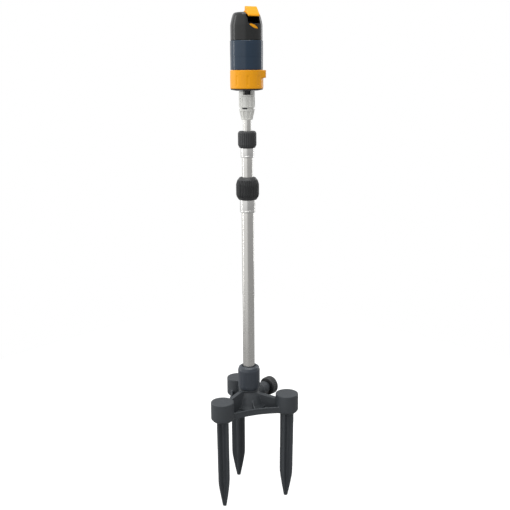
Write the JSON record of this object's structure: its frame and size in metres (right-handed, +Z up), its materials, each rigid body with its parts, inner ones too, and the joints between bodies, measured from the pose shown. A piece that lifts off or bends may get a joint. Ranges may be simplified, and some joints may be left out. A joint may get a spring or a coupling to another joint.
{
  "type": "telescopic lawn sprinkler",
  "caption": "Telescopic lawn sprinkler: gear-driven rotor head with arc ring and deflector on a clamped aluminium riser and a spiked base with a hose inlet.",
  "frame": {"origin": "on the riser's axis, at the flat underside of the base hub", "axes": "+Z up along the riser; +Y from the riser towards the hose inlet; the front spike is along -Y"},
  "size_m": [0.1886, 0.1782, 1.016],
  "materials": {
    "base_plastic": "fine moulded texture",
    "nut_plastic_grey": "satin",
    "nut_plastic_black": "satin, ribbed",
    "acetal": "natural",
    "seal_rubber": "matt",
    "anodised_tube": "drawn, anodised",
    "collar_metal": "turned, anodised",
    "inner_black": "satin",
    "coupler_grey": "satin",
    "spring_steel": "bright",
    "gear_brass": "machined",
    "navy_gloss": "gloss",
    "orange_plastic": "satin gloss",
    "turret_black": "gloss"
  },
  "bodies": {
    "base": {"base_body": "base_plastic", "spike_front": "base_plastic", "spike_right": "base_plastic", "spike_left": "base_plastic", "pole_seal": "seal_rubber", "lower_tube": "anodised_tube", "lower_collet_body": "collar_metal", "lower_seal": "seal_rubber"},
    "pole_grip": {"pole_grip_ring": "acetal"},
    "pole_nut": {"pole_nut": "nut_plastic_grey"},
    "inlet_nut": {"inlet_swivel_nut": "nut_plastic_black", "inlet_washer": "seal_rubber", "inlet_filter": "acetal"},
    "lower_collet": {"lower_collet": "acetal"},
    "lower_nut": {"lower_clamp_nut": "nut_plastic_black"},
    "middle": {"middle_tube": "anodised_tube", "middle_guide_bush": "inner_black", "middle_o_ring": "seal_rubber", "upper_collet_body": "collar_metal", "upper_seal": "seal_rubber"},
    "upper_collet": {"upper_collet": "acetal"},
    "upper_nut": {"upper_clamp_nut": "nut_plastic_black"},
    "upper": {"upper_tube": "anodised_tube", "upper_guide_bush": "inner_black", "upper_o_ring": "seal_rubber", "coupler_body": "coupler_grey", "coupler_taper_nut": "coupler_grey", "coupler_spring": "spring_steel", "coupler_o_ring": "seal_rubber"},
    "sleeve": {"coupler_release_sleeve": "coupler_grey"},
    "head": {"head_nipple": "inner_black", "head_bottom_plate": "inner_black", "inlet_screen": "acetal", "stator": "acetal", "idler_axle": "spring_steel", "gear_plate": "inner_black", "gear_case_cover": "inner_black", "output_seal": "seal_rubber", "body_shell": "navy_gloss"},
    "arc_ring": {"arc_ring": "orange_plastic"},
    "turret": {"output_ring_gear": "acetal", "turret_base": "inner_black", "turret_shell": "turret_black", "nozzle_block": "inner_black", "nozzle": "orange_plastic", "deflector_pin": "spring_steel"},
    "compound_gear": {"compound_gear": "acetal"},
    "turbine": {"turbine": "acetal", "turbine_shaft": "spring_steel", "turbine_pinion": "gear_brass"},
    "deflector": {"deflector": "orange_plastic"},
    "trip_lever": {"trip_lever": "gear_brass"}
  },
  "joints": [
    {"name": "pole_nut_turn", "type": "hinge", "parent": "pole_grip", "child": "pole_nut", "pos_m": [0, 0, 0.07], "axis": [0, 0, 1], "range_deg": [0, 360]},
    {"name": "pole_grip_rise", "type": "slide", "parent": "base", "child": "pole_grip", "axis": [0, 0, 1], "range_m": [0, 0.0025]},
    {"name": "inlet_nut_spin", "type": "hinge", "parent": "base", "child": "inlet_nut", "pos_m": [0, 0.065, 0.0305], "axis": [0, 1, 0], "continuous": true},
    {"name": "lower_nut_turn", "type": "hinge", "parent": "lower_collet", "child": "lower_nut", "pos_m": [0, 0, 0.47], "axis": [0, 0, 1], "range_deg": [0, 360]},
    {"name": "lower_collet_rise", "type": "slide", "parent": "base", "child": "lower_collet", "axis": [0, 0, 1], "range_m": [0, 0.0025]},
    {"name": "middle_tube_slide", "type": "slide", "parent": "base", "child": "middle", "axis": [0, 0, 1], "range_m": [-0.035, 0.3]},
    {"name": "upper_nut_turn", "type": "hinge", "parent": "upper_collet", "child": "upper_nut", "pos_m": [0, 0, 0.57], "axis": [0, 0, 1], "range_deg": [0, 360]},
    {"name": "upper_collet_rise", "type": "slide", "parent": "middle", "child": "upper_collet", "axis": [0, 0, 1], "range_m": [0, 0.0025]},
    {"name": "upper_tube_slide", "type": "slide", "parent": "middle", "child": "upper", "axis": [0, 0, 1], "range_m": [-0.018, 0.3]},
    {"name": "release_sleeve_slide", "type": "slide", "parent": "upper", "child": "sleeve", "axis": [0, 0, -1], "range_m": [0, 0.003], "stiffness_N_per_m": 600, "springref_m": -0.004, "deforming": ["coupler_spring"]},
    {"name": "head_swivel", "type": "hinge", "parent": "upper", "child": "head", "pos_m": [0, 0, 0.65], "axis": [0, 0, 1], "continuous": true},
    {"name": "arc_ring_turn", "type": "hinge", "parent": "head", "child": "arc_ring", "pos_m": [0, 0, 0.685], "axis": [0, 0, 1], "range_deg": [-160, 160]},
    {"name": "turret_turn", "type": "hinge", "parent": "head", "child": "turret", "pos_m": [0, 0, 0.76], "axis": [0, 0, 1], "continuous": true},
    {"name": "compound_gear_spin", "type": "hinge", "parent": "head", "child": "compound_gear", "pos_m": [0.0144, 0, 0.72], "axis": [0, 0, 1], "continuous": true},
    {"name": "turbine_spin", "type": "hinge", "parent": "head", "child": "turbine", "pos_m": [0, 0, 0.69], "axis": [0, 0, 1], "continuous": true},
    {"name": "deflector_tilt", "type": "hinge", "parent": "turret", "child": "deflector", "pos_m": [0.01187, -0.00392, 0.8078], "axis": [-0.314, -0.9494, 0], "range_deg": [0, 30]},
    {"name": "trip_lever_swing", "type": "hinge", "parent": "head", "child": "trip_lever", "pos_m": [0, -0.0175, 0.7365], "axis": [0, 0, 1], "range_deg": [-10, 10]}
  ],
  "couplings": [
    {"joint": "pole_nut_turn", "follows": "pole_grip_rise", "rad_per_m": 2513.3},
    {"joint": "lower_nut_turn", "follows": "lower_collet_rise", "rad_per_m": 2513.3},
    {"joint": "upper_nut_turn", "follows": "upper_collet_rise", "rad_per_m": 2513.3},
    {"joint": "compound_gear_spin", "follows": "turret_turn", "ratio": 5},
    {"joint": "turbine_spin", "follows": "turret_turn", "ratio": -15}
  ]
}
